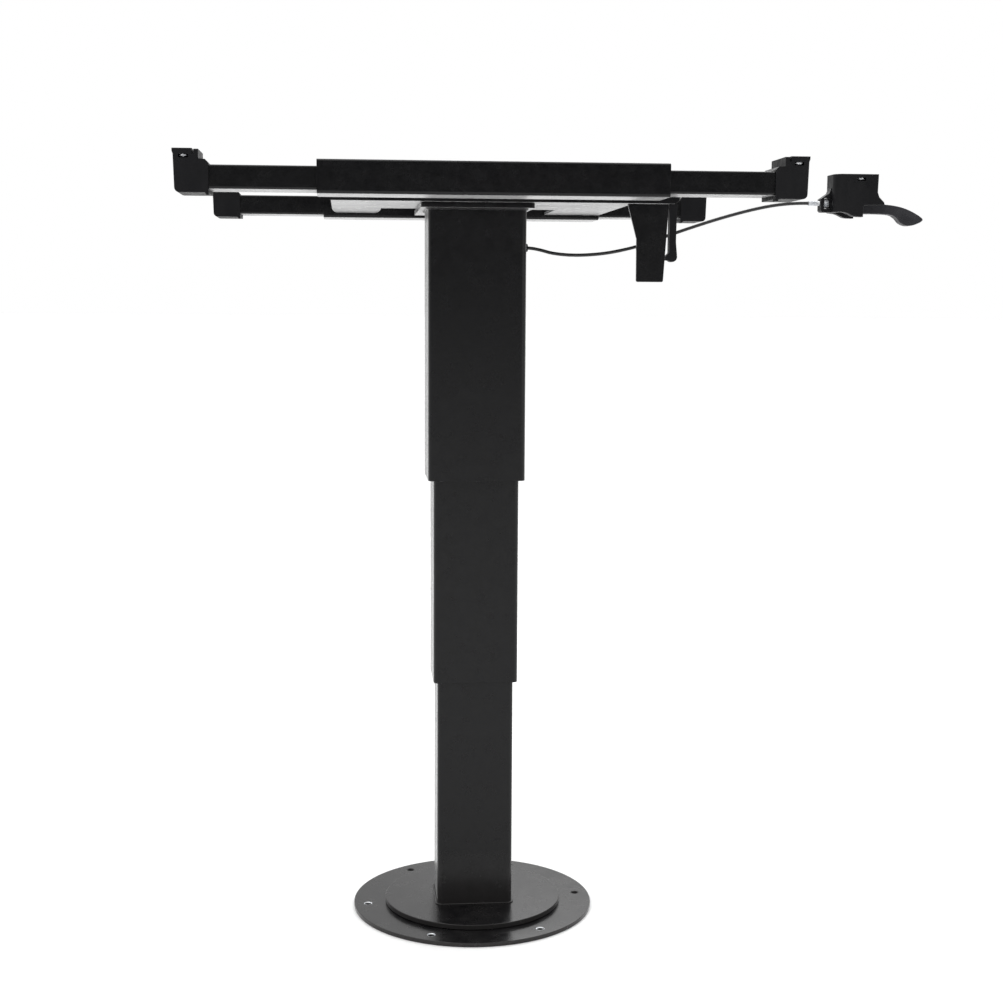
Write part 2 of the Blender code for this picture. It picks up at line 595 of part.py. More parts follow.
def housing_corner(side, left):
    """What is cut off the housing's left end on one side: a round corner, and all beside the lug."""
    radius = 0.012
    outer, lug = LEVER_Y + side * (HOUSING_HALF + 0.005), LEVER_Y + side * ANCHOR_HALF
    centre = (left + radius, LEVER_Y + side * (HOUSING_HALF - radius))
    corner = [(left - 0.02, outer), (left - 0.02, lug), (left, lug)]
    corner += arc(centre, radius, 180, 180 - side * 90, 6)
    corner += [(centre[0], outer)]
    cutter = extrusion(f"housing_corner_{side}", [corner], 0.68, TOP_FACE + 0.01, BLACK_PLASTIC)
    return as_cutter(as_mesh(cutter))


def release_lever():
    """Hub, arm and finger blade in one moulding, round the pivot pin."""
    pivot_x, pivot_z = LEVER_PIVOT
    blade = [(0.3700, 0.6895), (0.3980, 0.6889), (0.4060, 0.6860), (0.4112, 0.6808),
             (0.4180, 0.6783), (0.4258, 0.6796), (0.4328, 0.6842), (0.4250, 0.6902),
             (0.4130, 0.6953), (0.3985, 0.6980), (0.3765, 0.6990)]
    outline = arc((pivot_x, pivot_z), 0.0075, 10, 180, 8)
    outline += [(pivot_x - 0.0105, 0.7000), (pivot_x - 0.0105, 0.6925)]
    outline += smooth_route(blade, 0.003) + [(pivot_x + 0.0075, 0.7060)]
    hole = circle(0.0020 + GAP, (pivot_x, pivot_z), 20)
    extrusion("release_lever", [outline, hole], LEVER_Y - LEVER_HALF, LEVER_Y + LEVER_HALF,
              LEVER_PLASTIC, "XZ")


def return_spring():
    """A torsion spring of round wire beside the paddle's hub."""
    turns, steps, pitch, coil_radius, wire_radius = 3, 18, 0.00115, 0.0048, 0.0005
    start_y = LEVER_Y + LEVER_HALF + GAP + wire_radius
    points = []
    for k in range(turns * steps - 5):
        angle = 2 * math.pi * k / steps
        points.append((LEVER_PIVOT[0] + coil_radius * math.cos(angle), start_y + pitch * k / steps,
                       LEVER_PIVOT[1] + coil_radius * math.sin(angle)))
    tube_along("return_spring", points, wire_radius, SPRING_STEEL)


def cable_adjuster():
    """Knurled sleeve and lock nut that hold the cable's outer jacket against the housing."""
    jacket = CABLE_RADIUS + GAP
    pocket = 0.0060
    profile = [(jacket, 0.0), (0.0024, 0.0), (0.0024, 0.0270), (0.0010, 0.0270), (0.0010, pocket),
               (jacket, pocket)]
    turned("barrel_adjuster", profile[::-1], ZINC, (0.3205, LEVER_Y, ADJUSTER_HEIGHT), "X", 24,
           closed=True)
    ring("adjuster_nut", 0.0024 + GAP, 0.0047, 0.0142, 0.0196, ZINC,
         (0.3205, LEVER_Y, ADJUSTER_HEIGHT), "X", 24)


CABLE_ROUTE = [
    (0.3250, LEVER_Y, ADJUSTER_HEIGHT), (0.3140, LEVER_Y, 0.6990), (0.3000, -0.0250, 0.6982),
    (0.2840, -0.0250, 0.6961), (0.2650, -0.0245, 0.6921), (0.2450, -0.0235, 0.6868),
    (0.2250, -0.0225, 0.6808), (0.2050, -0.0210, 0.6742), (0.1850, -0.0190, 0.6672),
    (0.1680, -0.0170, 0.6610), (0.1515, -0.0140, 0.6556), (0.1290, -0.0105, 0.6507),
    (0.1090, -0.0070, 0.6486), (0.0920, -0.0040, 0.6484), (0.0760, -0.0015, 0.6500),
    (0.0640, -0.0002, 0.6530), (0.0550, 0.0, CABLE_HEIGHT - 0.0004), (0.0465, 0.0, CABLE_HEIGHT),
    (0.0350, 0.0, CABLE_HEIGHT), (0.0245, 0.0, CABLE_HEIGHT),
]


def release_cable():
    """The Bowden cable's jacket, from the adjuster to the release head inside the column."""
    tube_along("release_cable", smooth_route(CABLE_ROUTE, 0.0065), CABLE_RADIUS, CABLE_PLASTIC)
    side = UPPER_SIZE[0] / 2
    bore = CABLE_RADIUS + 2 * GAP
    neck, flange = 0.0042 - GAP, 0.0062
    profile = [(bore, 0.0050), (0.0036, 0.0050), (flange, 0.0018), (flange, GAP), (neck, GAP),
               (neck, -TUBE_WALL - GAP), (0.0052, -TUBE_WALL - GAP), (0.0052, -TUBE_WALL - 0.0012),
               (bore, -TUBE_WALL - 0.0012)]
    turned("cable_grommet", profile, BLACK_PLASTIC, (side, 0, CABLE_HEIGHT), "X", 24, closed=True)
    ring("cable_ferrule", CABLE_RADIUS + GAP, CABLE_RADIUS + 0.0012, 0.0, 0.010, ZINC,
         (0.0205, 0, CABLE_HEIGHT), "X", 20)


# ---------------------------------------------------------------- assembly
def build():
    foot = FLANGE_THICK + GAP + DISC_THICK + GAP
    floor_flange()
    base_disc()
    column_tubes(foot)
    glides()
    gas_spring(foot)
    release_head()
    release_rocker()
    head_and_plate()
    cross_members()
    cross_bar("front", -BEAM_CENTRE, 1)
    cross_bar("rear", BEAM_CENTRE, 1)
    hanger()
    lever_housing()
    release_lever()
    return_spring()
    cable_adjuster()
    release_cable()


build()
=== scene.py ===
"""Looks of the three-stage lifting column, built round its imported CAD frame.

Each CAD node on the outside is replaced by a piece on the same outline with rounded
edges, and welds and screws are added.  The nodes hidden in the column, the sleeves and
the lever's housing keep their CAD shape and get a material.  Metres, +Z up, in the
CAD's own frame.
"""

import json
import math

import bpy
import bmesh
from mathutils import Matrix, Vector


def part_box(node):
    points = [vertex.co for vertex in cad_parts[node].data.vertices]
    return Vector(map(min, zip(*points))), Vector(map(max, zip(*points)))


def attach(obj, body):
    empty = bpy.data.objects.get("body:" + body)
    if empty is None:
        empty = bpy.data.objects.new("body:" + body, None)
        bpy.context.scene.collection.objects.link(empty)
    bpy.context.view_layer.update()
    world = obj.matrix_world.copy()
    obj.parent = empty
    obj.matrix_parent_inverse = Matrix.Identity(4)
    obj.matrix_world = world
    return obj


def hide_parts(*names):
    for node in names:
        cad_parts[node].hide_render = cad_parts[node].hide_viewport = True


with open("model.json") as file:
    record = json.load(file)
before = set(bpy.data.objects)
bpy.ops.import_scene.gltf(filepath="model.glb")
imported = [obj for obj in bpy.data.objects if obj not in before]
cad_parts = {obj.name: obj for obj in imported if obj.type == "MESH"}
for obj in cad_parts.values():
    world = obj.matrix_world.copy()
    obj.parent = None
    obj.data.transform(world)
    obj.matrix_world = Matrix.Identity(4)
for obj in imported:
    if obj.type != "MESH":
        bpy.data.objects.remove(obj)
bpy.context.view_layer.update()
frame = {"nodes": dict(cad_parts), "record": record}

GAP = 0.0003                    # clearance between touching pieces, as in the CAD
TUBE_WALL = 0.002
BODY_OF = {node: body for body, nodes in frame["record"]["behaviour"]["bodies"].items()
           for node in nodes}
SLOT_OF = {part["node"]: part["material_slot"] for part in frame["record"]["subparts"]}

CABLE_RADIUS = 0.0016
CABLE_HEIGHT = 0.655            # where the cable goes through the upper tube's side
CABLE_HOLE = 0.0042             # radius of the hole that it goes through
LEVER_Y = -0.025                # middle plane of the lever and its housing
LEVER_PIVOT = (0.362, 0.7115)   # x and z
PIN_BORE = 0.0023               # radius of the hole for the lever's pin
ADJUSTER_HEIGHT = 0.699
SLEEVE_MIDDLE = 0.7048          # height of the sleeves' centre line
CLAMP_SCREW_X = 0.075           # on both sides of the column
SCREW_HOLE = 0.0033             # radius of the holes for bolts, floor screws and clamp screws
TOP_FACE = 0.7260               # underside of the table top
CABLE_ROUTE = [
    (0.3250, LEVER_Y, ADJUSTER_HEIGHT), (0.3140, LEVER_Y, 0.6990), (0.3000, -0.0250, 0.6982),
    (0.2840, -0.0250, 0.6961), (0.2650, -0.0245, 0.6921), (0.2450, -0.0235, 0.6868),
    (0.2250, -0.0225, 0.6808), (0.2050, -0.0210, 0.6742), (0.1850, -0.0190, 0.6672),
    (0.1680, -0.0170, 0.6610), (0.1515, -0.0140, 0.6556), (0.1290, -0.0105, 0.6507),
    (0.1090, -0.0070, 0.6486), (0.0920, -0.0040, 0.6484), (0.0760, -0.0015, 0.6500),
    (0.0640, -0.0002, 0.6530), (0.0550, 0.0, CABLE_HEIGHT - 0.0004), (0.0465, 0.0, CABLE_HEIGHT),
    (0.0350, 0.0, CABLE_HEIGHT), (0.0245, 0.0, CABLE_HEIGHT),
]


# ---------------------------------------------------------------- outlines
def circle(radius, centre=(0.0, 0.0), steps=48):
    return [(centre[0] + radius * math.cos(2 * math.pi * k / steps),
             centre[1] + radius * math.sin(2 * math.pi * k / steps))
            for k in range(steps)]


def arc(centre, radius, start, end, steps=8):
    """Points on an arc; the angles are in degrees."""
    return [(centre[0] + radius * math.cos(math.radians(start + (end - start) * k / steps)),
             centre[1] + radius * math.sin(math.radians(start + (end - start) * k / steps)))
            for k in range(steps + 1)]


def rounded_rectangle(width, height, radius, centre=(0.0, 0.0), steps=8):
    points = []
    for side_x, side_y, start in ((1, 1, 0), (-1, 1, 90), (-1, -1, 180), (1, -1, 270)):
        middle = (centre[0] + side_x * (width / 2 - radius),
                  centre[1] + side_y * (height / 2 - radius))
        points += arc(middle, radius, start, start + 90, steps)
    return points


def smooth_route(points, spacing):
    """Points at about equal spacing on a Catmull-Rom curve through the given points."""
    points = [Vector(point) for point in points]
    ends = [2 * points[0] - points[1]] + points + [2 * points[-1] - points[-2]]
    route = []
    for a, b, c, d in zip(ends, ends[1:], ends[2:], ends[3:]):
        steps = max(1, round((c - b).length / spacing))
        for k in range(steps):
            t = k / steps
            route.append(0.5 * (2 * b + (c - a) * t + (2 * a - 5 * b + 4 * c - d) * t * t
                                + (3 * b - a - 3 * c + d) * t ** 3))
    route.append(points[-1])
    return route


# ---------------------------------------------------------------- shapes
def as_object(name, mesh):
    obj = bpy.data.objects.new(name, mesh)
    bpy.context.scene.collection.objects.link(obj)
    return obj


def clean(mesh, smooth_angle=34.0):
    """Weld the mesh, turn its faces outwards and shade it smooth up to an angle."""
    work = bmesh.new()
    work.from_mesh(mesh)
    bmesh.ops.remove_doubles(work, verts=work.verts, dist=0.000005)
    bmesh.ops.recalc_face_normals(work, faces=work.faces)
    work.to_mesh(mesh)
    work.free()
    mesh.shade_smooth()
    mesh.set_sharp_from_angle(angle=math.radians(smooth_angle))


def evaluated_mesh(obj):
    bpy.context.view_layer.update()
    graph = bpy.context.evaluated_depsgraph_get()
    mesh = bpy.data.meshes.new_from_object(obj.evaluated_get(graph))
    mesh.transform(obj.matrix_world)
    return mesh


PLANES = {
    "XY": (Matrix.Identity(4), Vector((0, 0, 1))),
    "XZ": (Matrix.Rotation(math.pi / 2, 4, "X"), Vector((0, 1, 0))),
    "YZ": (Matrix.Rotation(math.pi / 2, 4, "Z") @ Matrix.Rotation(math.pi / 2, 4, "X"),
           Vector((1, 0, 0))),
}


def prism(name, outlines, start, end, plane="XY", edge=0.0005, rounds=2):
    """An outline with its holes, extruded between two coordinates, all rims rounded."""
    curve = bpy.data.curves.new(name, "CURVE")
    curve.dimensions = "2D"
    curve.fill_mode = "BOTH"
    curve.extrude = abs(end - start) / 2 - edge
    curve.bevel_depth = edge
    curve.bevel_resolution = rounds
    curve.offset = -edge
    for outline in outlines:
        spline = curve.splines.new("POLY")
        spline.points.add(len(outline) - 1)
        for point, (a, b) in zip(spline.points, outline):
            point.co = (a, b, 0.0, 1.0)
        spline.use_cyclic_u = True
    shape = as_object(name, curve)
    mesh = evaluated_mesh(shape)
    bpy.data.objects.remove(shape, do_unlink=True)
    turn, normal = PLANES[plane]
    mesh.transform(Matrix.Translation(normal * (start + end) / 2) @ turn)
    clean(mesh)
    obj = as_object(name, mesh)
    obj.modifiers.new("flat_faces", "WEIGHTED_NORMAL").keep_sharp = True
    return obj


def lathe(name, profile, centre=(0, 0, 0), axis=(0, 0, 1), steps=48, closed=False, teeth=0):
    """A profile of (radius, height, tooth depth) turned about an axis through centre.

    A closed profile makes a ring.  Teeth are cut along the axis where a depth is given.
    """
    work = bmesh.new()
    rings = []
    for entry in profile:
        radius, height, depth = (*entry, 0.0)[:3]
        if radius < 1e-7:
            rings.append([work.verts.new((0, 0, height))] * steps)
            continue
        ring = []
        for k in range(steps):
            angle = 2 * math.pi * k / steps
            reach = radius - depth * (0.5 + 0.5 * math.cos(teeth * angle))
            ring.append(work.verts.new((reach * math.cos(angle), reach * math.sin(angle), height)))
        rings.append(ring)
    pairs = list(zip(rings, rings[1:]))
    if closed:
        pairs.append((rings[-1], rings[0]))
    for upper, lower in pairs:
        for k in range(steps):
            corners = (upper[k], upper[(k + 1) % steps], lower[(k + 1) % steps], lower[k])
            face = list(dict.fromkeys(corners))
            if len(face) > 2:
                work.faces.new(face)
    mesh = bpy.data.meshes.new(name)
    work.to_mesh(mesh)
    work.free()
    turn = Vector((0, 0, 1)).rotation_difference(Vector(axis)).to_matrix().to_4x4()
    mesh.transform(Matrix.Translation(centre) @ turn)
    clean(mesh)
    return as_object(name, mesh)


def tube_along(name, points, radius, cyclic=False, swell=None, resolution=4):
    """A round wire through the points; swell gives each point's share of the radius."""
    curve = bpy.data.curves.new(name, "CURVE")
    curve.dimensions = "3D"
    curve.bevel_depth = radius
    curve.bevel_resolution = resolution
    curve.use_fill_caps = not cyclic
    spline = curve.splines.new("POLY")
    spline.points.add(len(points) - 1)
    for k, (point, place) in enumerate(zip(spline.points, points)):
        point.co = (*place, 1.0)
        if swell:
            point.radius = swell[k]
    spline.use_cyclic_u = cyclic
    return as_object(name, curve)


def weld_bead(name, points, radius):
    """A fillet weld all round the points, with one ripple every 1.7 mm."""
    ripple, samples, depth = 0.0017, 4, 0.16
    route = [Vector(point) for point in points]
    route.append(route[0])
    places, swell = [], []
    carried = 0.0
    step = ripple / samples
    for a, b in zip(route, route[1:]):
        length = (b - a).length
        while carried < length:
            places.append(a.lerp(b, carried / length))
            swell.append(1.0 - depth * (len(swell) % samples) / samples)
            carried += step
        carried -= length
    bead = tube_along(name, places, radius, True, swell, resolution=2)
    mesh = evaluated_mesh(bead)
    bpy.data.objects.remove(bead, do_unlink=True)
    clean(mesh, 60)
    return as_object(name, mesh)


def box_shape(low, high):
    bpy.ops.mesh.primitive_cube_add(size=1.0, location=(Vector(low) + Vector(high)) / 2)
    obj = bpy.context.object
    obj.scale = Vector(high) - Vector(low)
    return obj


def rod_shape(centre, radius, length, axis, sides=40):
    """A plain cylinder or a regular prism for cutting, along the axis."""
    bpy.ops.mesh.primitive_cylinder_add(vertices=sides, radius=radius, depth=length)
    obj = bpy.context.object
    obj.rotation_mode = "QUATERNION"
    obj.rotation_quaternion = Vector((0, 0, 1)).rotation_difference(Vector(axis))
    obj.location = centre
    return obj


def carve(obj, cutters, smooth_angle=34.0):
    """Cut the shapes out of obj and remove them."""
    obj.modifiers.clear()
    for cutter in cutters:
        modifier = obj.modifiers.new("cut", "BOOLEAN")
        modifier.operation = "DIFFERENCE"
        modifier.solver = "EXACT"
        modifier.object = cutter
    mesh = evaluated_mesh(obj)
    obj.modifiers.clear()
    obj.data = mesh
    clean(mesh, smooth_angle)
    for cutter in cutters:
        bpy.data.objects.remove(cutter, do_unlink=True)
    obj.modifiers.new("flat_faces", "WEIGHTED_NORMAL").keep_sharp = True
    return obj


def join(name, shapes):
    """Several touching shapes as one piece."""
    work = bmesh.new()
    for shape in shapes:
        mesh = evaluated_mesh(shape)
        work.from_mesh(mesh)
        bpy.data.meshes.remove(mesh)
        bpy.data.objects.remove(shape, do_unlink=True)
    mesh = bpy.data.meshes.new(name)
    work.to_mesh(mesh)
    work.free()
    clean(mesh)
    return as_object(name, mesh)


# ---------------------------------------------------------------- materials
def start_material(name, roughness, metallic=0.0):
    mat = bpy.data.materials.new(name)
    mat.use_nodes = True
    shader = mat.node_tree.nodes["Principled BSDF"]
    shader.inputs["Metallic"].default_value = metallic
    shader.inputs["Roughness"].default_value = roughness
    return mat, mat.node_tree, shader


def grain(tree, scale, detail=3.0, stretch=(1, 1, 1)):
    """Noise in the piece's own metres; the scale is in waves a metre."""
    where = tree.nodes.new("ShaderNodeTexCoord")
    mapping = tree.nodes.new("ShaderNodeMapping")
    mapping.inputs["Scale"].default_value = stretch
    noise = tree.nodes.new("ShaderNodeTexNoise")
    noise.inputs["Scale"].default_value = scale
    noise.inputs["Detail"].default_value = detail
    tree.links.new(where.outputs["Object"], mapping.inputs["Vector"])
    tree.links.new(mapping.outputs["Vector"], noise.inputs["Vector"])
    return noise.outputs["Fac"]


def spread(tree, source, low, high, start=0.35, end=0.65):
    """A value's range from start to end, by default a noise's middle, drawn out between two."""
    node = tree.nodes.new("ShaderNodeMapRange")
    node.inputs["From Min"].default_value = start
    node.inputs["From Max"].default_value = end
    node.inputs["To Min"].default_value = low
    node.inputs["To Max"].default_value = high
    tree.links.new(source, node.inputs["Value"])
    return node.outputs["Result"]


def blend_value(tree, factor, first, second):
    """first is a node's output and second a number."""
    node = tree.nodes.new("ShaderNodeMix")
    tree.links.new(factor, node.inputs["Factor"])
    tree.links.new(first, node.inputs["A"])
    node.inputs["B"].default_value = second
    return node.outputs["Result"]


def blend_colour(tree, factor, first, second):
    """first and second are colours, or a node's colour output."""
    node = tree.nodes.new("ShaderNodeMix")
    node.data_type = "RGBA"
    tree.links.new(factor, node.inputs["Factor"])
    for socket, colour in ((node.inputs[6], first), (node.inputs[7], second)):
        if isinstance(colour, tuple):
            socket.default_value = (*colour, 1.0)
        else:
            tree.links.new(colour, socket)
    return node.outputs[2]


def reckon(tree, operation, first, second):
    node = tree.nodes.new("ShaderNodeMath")
    node.operation = operation
    tree.links.new(first, node.inputs[0])
    tree.links.new(second, node.inputs[1])
    return node.outputs[0]


def relief(tree, shader, height, distance, below=None):
    node = tree.nodes.new("ShaderNodeBump")
    node.inputs["Distance"].default_value = distance
    tree.links.new(height, node.inputs["Height"])
    if below is not None:
        tree.links.new(below, node.inputs["Normal"])
    tree.links.new(node.outputs["Normal"], shader.inputs["Normal"])
    return node.outputs["Normal"]


def facing(tree):
    """Three masks, 0 to 1: for faces that look up, down, and to the left or right."""
    start = 0.75
    geometry = tree.nodes.new("ShaderNodeNewGeometry")
    split = tree.nodes.new("ShaderNodeSeparateXYZ")
    tree.links.new(geometry.outputs["Normal"], split.inputs[0])
    sideways = reckon(tree, "MULTIPLY", split.outputs["X"], split.outputs["X"])
    return (spread(tree, split.outputs["Z"], 0.0, 1.0, start, 1.0),
            spread(tree, split.outputs["Z"], 1.0, 0.0, -1.0, -start),
            spread(tree, sideways, 0.0, 1.0, start, 1.0))


def powder_coat():
    """Satin black powder coat: orange peel, fine texture, upward faces paler with a little dust
    and a painted sheen.

    Upright faces near the floor are painted paler, as painted light bouncing up from the floor.
    The undersides and the side faces carry a velvety haze that lights up in grazing light.
    """
    mat, tree, shader = start_material("black_powder_coat", 0.42)
    body = blend_colour(tree, spread(tree, grain(tree, 420, 4), 0.0, 1.0),
                        (0.0030, 0.0030, 0.0034), (0.0060, 0.0060, 0.0066))
    # pale tone used both for the dust and for the painted light below
    pale = (0.100, 0.094, 0.092)
    up, down, side = facing(tree)
    # upward faces paler: partly dust, partly a painted sheen of light on the tops
    dust_and_top_sheen = reckon(tree, "MULTIPLY", up, spread(tree, grain(tree, 60, 6), 0.01, 0.09))
    colour = blend_colour(tree, dust_and_top_sheen, body, pale)
    place = tree.nodes.new("ShaderNodeTexCoord")
    split = tree.nodes.new("ShaderNodeSeparateXYZ")
    tree.links.new(place.outputs["Object"], split.inputs[0])
    # painted light: upright faces are painted paler towards the floor, standing in for light
    # bounced up from it
    near_floor = spread(tree, split.outputs["Z"], 0.26, 0.0, 0.005, 0.065)
    painted_floor_bounce = reckon(tree, "MULTIPLY", near_floor, spread(tree, up, 1.0, 0.0, 0.0, 1.0))
    colour = blend_colour(tree, painted_floor_bounce, colour, pale)
    tree.links.new(colour, shader.inputs["Base Color"])
    tree.links.new(spread(tree, grain(tree, 90, 5), 0.20, 0.28), shader.inputs["Roughness"])
    shader.inputs["Specular IOR Level"].default_value = 0.25
    level = blend_value(tree, side, down, 0.6)      # side faces carry less haze
    haze = reckon(tree, "MULTIPLY", level, spread(tree, grain(tree, 25, 4), 0.50, 0.62))
    tree.links.new(haze, shader.inputs["Sheen Weight"])
    shader.inputs["Sheen Roughness"].default_value = 0.25
    peel = relief(tree, shader, grain(tree, 1100, 2), 0.00002)
    relief(tree, shader, grain(tree, 3600, 2), 0.000006, peel)
    return mat


def moulded_plastic(name, dark, light, roughness, texture):
    """Injection-moulded plastic with a spark-eroded surface and faint flow marks."""
    mat, tree, shader = start_material(name, roughness)
    flow = spread(tree, grain(tree, 55, 5, (1, 1, 0.35)), 0.0, 1.0)
    tree.links.new(blend_colour(tree, flow, dark, light), shader.inputs["Base Color"])
    tree.links.new(spread(tree, grain(tree, 160, 4), roughness - 0.06, roughness + 0.07),
                   shader.inputs["Roughness"])
    shader.inputs["Specular IOR Level"].default_value = 0.15
    relief(tree, shader, grain(tree, 2600, 2), texture)
    return mat


def plated_steel(name, dark, light, roughness, stretch=(1, 1, 1)):
    """Metal with cloudy plating and fine machining lines along one direction."""
    mat, tree, shader = start_material(name, roughness, 1.0)
    cloud = spread(tree, grain(tree, 240, 4), 0.0, 1.0)
    tree.links.new(blend_colour(tree, cloud, dark, light), shader.inputs["Base Color"])
    tree.links.new(spread(tree, grain(tree, 700, 4, stretch), roughness - 0.07, roughness + 0.12),
                   shader.inputs["Roughness"])
    relief(tree, shader, grain(tree, 2200, 3, stretch), 0.000012)
    return mat


def glide_plastic():
    """Natural acetal with smears of grease."""
    mat, tree, shader = start_material("glide_plastic", 0.4)
    smear = spread(tree, grain(tree, 45, 5, (1, 1, 0.3)), 0.0, 0.8, 0.45, 0.75)
    tree.links.new(blend_colour(tree, smear, (0.72, 0.71, 0.67), (0.46, 0.43, 0.36)),
                   shader.inputs["Base Color"])
    tree.links.new(spread(tree, grain(tree, 80, 4), 0.22, 0.48), shader.inputs["Roughness"])
    relief(tree, shader, grain(tree, 900, 2), 0.00003)
    return mat


def cable_jacket():
    """Black PVC jacket: glossy, with the faint lay of the wires under it."""
    mat, tree, shader = start_material("cable_jacket", 0.34)
    tree.links.new(blend_colour(tree, spread(tree, grain(tree, 300, 4), 0.0, 1.0),
                                (0.008, 0.008, 0.009), (0.016, 0.016, 0.017)),
                   shader.inputs["Base Color"])
    tree.links.new(spread(tree, grain(tree, 220, 3), 0.26, 0.42), shader.inputs["Roughness"])
    relief(tree, shader, grain(tree, 1500, 2, (1, 0.4, 0.4)), 0.00002)
    return mat


MATERIALS = {
    "black_powder_coat": powder_coat(),
    "black_plastic": moulded_plastic("black_plastic", (0.005, 0.005, 0.006),
                                     (0.009, 0.009, 0.010), 0.50, 0.00002),
    "lever_plastic": moulded_plastic("lever_plastic", (0.022, 0.022, 0.025),
                                     (0.032, 0.032, 0.036), 0.44, 0.00002),
    "glide_plastic": glide_plastic(),
    "cable_jacket": cable_jacket(),
    "zinc_plated_steel": plated_steel("zinc_plated_steel", (0.52, 0.54, 0.57),
                                      (0.80, 0.81, 0.82), 0.46),
    "polished_steel": plated_steel("polished_steel", (0.52, 0.53, 0.55), (0.60, 0.61, 0.62),
                                   0.15, (1, 1, 0.05)),
    "spring_steel": plated_steel("spring_steel", (0.26, 0.26, 0.28), (0.38, 0.38, 0.39), 0.30),
}


def paint(obj, slot):
    obj.data.materials.clear()
    obj.data.materials.append(MATERIALS[slot])
    return obj


def stand_for(obj, node):
    """obj takes the CAD node's place: its body, its slot and its material."""
    paint(obj, SLOT_OF[node])
    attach(obj, BODY_OF[node])
    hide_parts(node)
    return obj


def add_detail(obj, node, slot=None):
    """A detail with no CAD node of its own rides with the node that it is on."""
    slot = slot or SLOT_OF[node]
    paint(obj, slot)
    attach(obj, BODY_OF[node])
    return obj


# ---------------------------------------------------------------- camera, light and floor
def make_camera():
    data = bpy.data.cameras.new("camera")
    data.sensor_width = 36.0
    data.lens = 59.08
    camera = bpy.data.objects.new("camera", data)
    turn_right, look_down, roll = 5.343, 6.974, 0.319
    aim = Matrix.Rotation(math.radians(-turn_right), 4, "Z")
    aim = aim @ Matrix.Rotation(math.radians(90.0 - look_down), 4, "X")
    aim = aim @ Matrix.Rotation(math.radians(roll), 4, "Z")
    camera.matrix_world = Matrix.Translation((-0.1223, -1.6013, 0.6047)) @ aim
    bpy.context.scene.collection.objects.link(camera)
    bpy.context.scene.camera = camera


def area_light(name, place, target, size, power):
    data = bpy.data.lights.new(name, "AREA")
    data.shape = "RECTANGLE"
    data.size, data.size_y = size
    data.energy = power
    light = bpy.data.objects.new(name, data)
    light.location = place
    aim = Vector(target) - Vector(place)
    light.rotation_euler = aim.to_track_quat("-Z", "Y").to_euler()
    bpy.context.scene.collection.objects.link(light)


def studio():
    """A bright backdrop all round, dimmer on the camera's side, and three soft lights."""
    world = bpy.data.worlds.new("studio")
    world.use_nodes = True
    bpy.context.scene.world = world
    tree = world.node_tree
    background = tree.nodes["Background"]
    background.inputs["Color"].default_value = (1.0, 1.0, 1.0, 1.0)
    where = tree.nodes.new("ShaderNodeTexCoord")
    split = tree.nodes.new("ShaderNodeSeparateXYZ")
    tree.links.new(where.outputs["Generated"], split.inputs[0])
    around = spread(tree, split.outputs["Y"], 0.08, 0.95, -0.45, 0.30)
    above = spread(tree, split.outputs["Z"], 0.0, 1.6, 0.50, 1.0)
    lit = reckon(tree, "ADD", around, above)
    path = tree.nodes.new("ShaderNodeLightPath")
    seen = blend_value(tree, path.outputs["Is Camera Ray"], lit, 1.0)
    tree.links.new(seen, background.inputs["Strength"])
    middle = (0, 0, 0.45)
    area_light("key", (-1.5, -1.9, 2.1), middle, (1.4, 1.4), 18)
    area_light("fill", (2.0, -1.3, 1.1), middle, (1.2, 1.6), 6)
    area_light("back", (0.9, 2.1, 1.7), middle, (1.8, 1.2), 16)


def make_floor():
    bpy.ops.mesh.primitive_circle_add(vertices=96, radius=60.0, fill_type="NGON",
                                      location=(0, 0, -0.0002))
    floor = bpy.context.object
    floor.name = "floor"
    mat, tree, shader = start_material("pale_floor", 0.7)
    shader.inputs["Specular IOR Level"].default_value = 0.2
    tree.links.new(blend_colour(tree, spread(tree, grain(tree, 3, 4), 0.0, 1.0),
                                (0.905, 0.905, 0.905), (0.915, 0.915, 0.915)),
                   shader.inputs["Base Color"])
    floor.data.materials.append(mat)


# ---------------------------------------------------------------- cable
def release_cable():
    route = smooth_route(CABLE_ROUTE, 0.0035)
    cable = stand_for(tube_along("release_cable_jacket", route, CABLE_RADIUS), "release_cable")


# ---------------------------------------------------------------- base and column
def base():
    """Floor flange and disc; the three front holes get a bright steel ring at the top as a painted
    glint.
    """
    low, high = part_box("floor_flange")
    hole_circle, holes, turn = 0.1055, 6, math.radians(4)
    centres = []
    for k in range(holes):
        angle = turn + 2 * math.pi * k / holes
        centres.append((hole_circle * math.cos(angle), hole_circle * math.sin(angle), 0.0))
    outlines = [circle(high.x, steps=160)]
    outlines += [circle(SCREW_HOLE, (x, y), 32) for x, y, _ in centres]
    plate = prism("flange_plate", outlines, low.z, high.z, edge=0.0006)
    top, throat, depth, over = high.z, 0.0034, 0.0008, 0.0002
    cone = [(0, top - depth), (throat, top - depth), (throat + depth + over, top + over),
            (0, top + over)]
    cones = [lathe("countersink", cone, centre) for centre in centres]
    stand_for(carve(plate, cones), "floor_flange")
    # A thin bright steel ring that lies on the cone of each front hole: a painted glint in the
    # hole.
    seat = [(0.00335, top - 0.00078), (0.00412, top - 0.00001), (0.00382, top - 0.00001),
            (0.00312, top - 0.00071)]
    glint_hole_centres = [centre for centre in centres if centre[1] < 0]
    for k, centre in enumerate(glint_hole_centres):
        ring = lathe(f"glint_ring_{k + 1}", seat, centre, steps=32, closed=True)
        add_detail(ring, "floor_flange", "zinc_plated_steel")
    low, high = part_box("base_disc")
    disc = prism("foot_disc", [circle(high.x, steps=144)], low.z, high.z, edge=0.0007)
    stand_for(disc, "base_disc")


